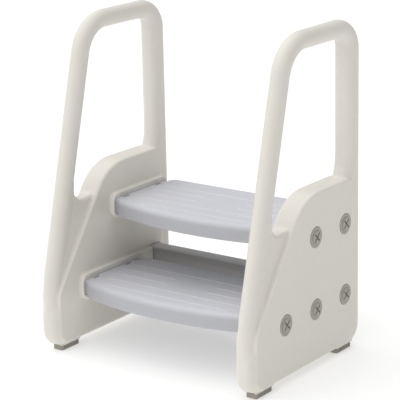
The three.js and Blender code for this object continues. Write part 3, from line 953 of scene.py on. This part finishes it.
footLook = {
    "corner": 4,
    "grooves": 5,
    "grooveDepth": 0.8,
    "grooveWidth": 2.0,
    "stemRadius": 6,
    "stemReach": 14,
}


def footSurface(node, look):
    # A rounded rectangle carried up in z and drawn in at its rims, its long sides notched by
    # upright grooves, rings cut in the sole, and a round stem on top.
    low, high = nodeBox(node)
    middle = (low + high) / 2
    halfX, halfY = (high - low)[:2] / 2
    seat = high[2] - look["stemReach"]
    corner = look["corner"]
    quarter = np.linspace(0, math.pi / 2, 8)
    runY = np.linspace(-halfY + corner, halfY - corner, 61)[1:-1]
    runX = np.linspace(-halfX + corner, halfX - corner, 9)[1:-1]

    def turnAt(signX, signY, first):
        centre = np.array([signX * (halfX - corner), signY * (halfY - corner)])
        return centre, first + quarter

    parts, outwards = [], []
    for (centre, angles), run in (
        (turnAt(1, -1, -math.pi / 2), np.column_stack([np.full(len(runY), halfX), runY])),
        (turnAt(1, 1, 0), np.column_stack([runX[::-1], np.full(len(runX), halfY)])),
        (turnAt(-1, 1, math.pi / 2), np.column_stack([np.full(len(runY), -halfX), runY[::-1]])),
        (turnAt(-1, -1, math.pi), np.column_stack([runX, np.full(len(runX), -halfY)])),
    ):
        ray = np.column_stack([np.cos(angles), np.sin(angles)])
        parts += [centre + corner * ray, run]
        outwards += [ray, np.tile(ray[-1], (len(run), 1))]
    outline, ray = np.vstack(parts), np.vstack(outwards)
    pitch = 2 * (halfY - corner) / look["grooves"]
    phase = np.abs((outline[:, 1] / pitch + 0.5 * (look["grooves"] % 2)) % 1 - 0.5) * pitch
    notch = (1 - smoothStep(phase, look["grooveWidth"] / 2 - 0.5, look["grooveWidth"] / 2 + 0.3))
    notch = notch * (np.abs(ray[:, 0]) > 0.99) * look["grooveDepth"]
    # height, how far the loop is drawn in, how much of the notch shows
    rows = [(0.0, 8.4, 0), (0.0, 7.6, 0), (0.7, 7.2, 0), (0.7, 5.8, 0), (0.0, 5.4, 0),
            (0.0, 4.6, 0), (0.7, 4.2, 0), (0.7, 3.0, 0), (0.0, 2.6, 0), (0.0, 1.2, 0),
            (0.15, 0.6, 0), (0.6, 0.15, 0), (1.2, 0.0, 0), (2.2, 0.0, 0), (2.5, 0.0, 1),
            (seat - 1.2, 0.0, 1), (seat - 0.5, 0.2, 1), (seat, 0.8, 1)]
    loops, edge = [], []
    for height, drawn, shown in rows:
        shape = outline.copy()
        keep = np.array([halfX, halfY]) - drawn
        shape = np.sign(shape) * np.minimum(np.abs(shape), np.maximum(keep, 0))
        if drawn < corner:
            shape = outline - ray * drawn
        shape = shape - ray * (notch * shown)[:, None]
        loops.append(np.column_stack([shape, np.full(len(shape), height)]))
        # painted shade in the grooves; two rims are a little paler
        edge.append(np.where(notch * shown > 0.4, -0.9, 0.6 if drawn in (0.15, 0.2) else 0.0))
    bearing = np.arctan2(outline[:, 1] / halfY, outline[:, 0] / halfX)
    circle = np.column_stack([np.cos(bearing), np.sin(bearing)]) * look["stemRadius"]
    for scale, height in ((1.15, seat), (1.0, seat + 0.4), (1.0, high[2] - 1), (0.85, high[2])):
        loops.append(np.column_stack([circle * scale, np.full(len(circle), height)]))
        edge.append(np.zeros(len(circle)))
    vertices, faces = skin(np.array(loops))
    return vertices + np.array([middle[0], middle[1], 0]), faces, np.append(edge, (0.0, 0.0))


for sideName in ("left", "right"):
    for end in ("front", "rear"):
        vertices, faces, edge = footSurface(f"{sideName}_{end}_foot", footLook)
        addPiece(f"{sideName}{end.title()}Foot", vertices, faces, footFinish,
                 f"{sideName}_{end}_foot", edge=edge)
print("feet:", len(faces), "faces each")

# ---- nuts, kept from the model ----

for name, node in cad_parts.items():
    if name.endswith("_nut"):
        node.data.materials.clear()
        node.data.materials.append(nutFinish)
print("nuts finished")

# ---- floor and light ----

studioLook = {
    "floor": (208, 208, 207),
    "floorGlow": 0.43,
    "sky": 0.24,
    "keyStrength": 2.75,
    "keyFrom": (-0.9, -0.65, 3.0),  # the way to the light, high up in front and to the left
    "keySpread": 110,  # degrees across, which softens the shadows
}


def addFloor(look):
    # a disc of rings, dead flat, far wider than the view
    radii = np.array([0.4, 1, 2, 4, 8, 16, 30])
    size = 64  # points in each ring
    angles = np.linspace(0, 2 * math.pi, size + 1)[:-1]
    points = radii[:, None, None] * np.stack([np.cos(angles), np.sin(angles)], 1)[None]
    loops = np.concatenate([points, np.zeros((*points.shape[:2], 1))], 2)
    vertices = np.vstack([[0, 0, 0], loops.reshape(-1, 3)])
    ring = np.arange(size)
    faces = [[0, 1 + i, 1 + (i + 1) % size] for i in ring]
    for row in range(len(radii) - 1):
        a, b = 1 + row * size + ring, 1 + row * size + (ring + 1) % size
        faces += np.stack([a, a + size, b + size, b], 1).tolist()
    mesh = bpy.data.meshes.new("floor")
    mesh.from_pydata(vertices.tolist(), [], faces)
    floor = bpy.data.objects.new("floor", mesh)
    bpy.context.scene.collection.objects.link(floor)
    material = bpy.data.materials.new("paleFloor")
    material.use_nodes = True
    shader = material.node_tree.nodes["Principled BSDF"]
    shader.inputs["Base Color"].default_value = (*linear(look["floor"]), 1)
    shader.inputs["Roughness"].default_value = 0.9
    shader.inputs["Specular IOR Level"].default_value = 0.1
    shader.inputs["Emission Color"].default_value = (1, 1, 1, 1)
    shader.inputs["Emission Strength"].default_value = look["floorGlow"]
    mesh.materials.append(material)


addFloor(studioLook)
keyData = bpy.data.lights.new("key", "SUN")
keyData.energy = studioLook["keyStrength"]
keyData.angle = math.radians(studioLook["keySpread"])
key = bpy.data.objects.new("key", keyData)
key.rotation_euler = Vector(studioLook["keyFrom"]).to_track_quat("Z", "Y").to_euler()
bpy.context.scene.collection.objects.link(key)
world = bpy.data.worlds.new("studio")
world.use_nodes = True
background = world.node_tree.nodes["Background"]
background.inputs["Color"].default_value = (1, 1, 1, 1)
background.inputs["Strength"].default_value = studioLook["sky"]
bpy.context.scene.world = world
bpy.context.scene.view_settings.view_transform = "Standard"
print("studio lit")
